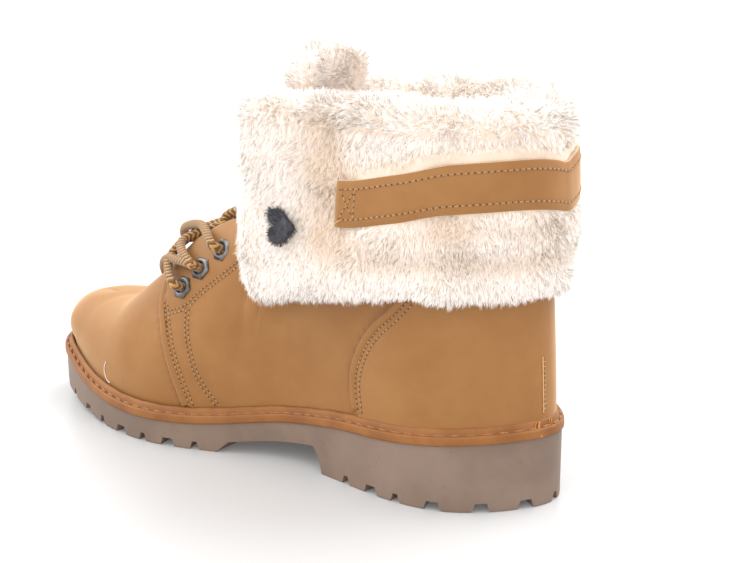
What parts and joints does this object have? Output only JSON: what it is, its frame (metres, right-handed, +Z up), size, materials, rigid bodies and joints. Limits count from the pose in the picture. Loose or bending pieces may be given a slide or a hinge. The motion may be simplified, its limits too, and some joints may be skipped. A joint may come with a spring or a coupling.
{
  "type": "fur-lined lace-up boot",
  "caption": "Right-foot ankle boot with a hollow leather upper, folded fur cuff, strap, laces, stitched welt and a lugged rubber sole.",
  "frame": {"origin": "on the ground, under the middle of the heel, at the tread bar that the heel rests on", "axes": "+X from heel to toe, +Y to the medial side of a right foot (the wearer's left), +Z up"},
  "size_m": [0.2882, 0.1078, 0.183],
  "materials": {
    "sole_rubber": "matte moulded rubber",
    "welt_strip": "smooth waxed edge",
    "footbed": "short pile",
    "nubuck": "brushed nubuck",
    "fur": "deep curled pile",
    "strap_leather": "brushed nubuck",
    "patch_felt": "matte felt",
    "eyelet_metal": "antique satin",
    "lace_cord": "woven round cord"
  },
  "bodies": {
    "root": {"outsole": "sole_rubber", "welt": "welt_strip", "insole": "footbed", "upper": "nubuck", "tongue": "fur", "cuff": "fur", "strap": "strap_leather", "heart_patch": "patch_felt", "eyelet_medial_1": "eyelet_metal", "eyelet_medial_2": "eyelet_metal", "eyelet_medial_3": "eyelet_metal", "eyelet_lateral_1": "eyelet_metal", "eyelet_lateral_2": "eyelet_metal", "eyelet_lateral_3": "eyelet_metal", "lace": "lace_cord", "lace_end": "lace_cord"}
  },
  "joints": []
}
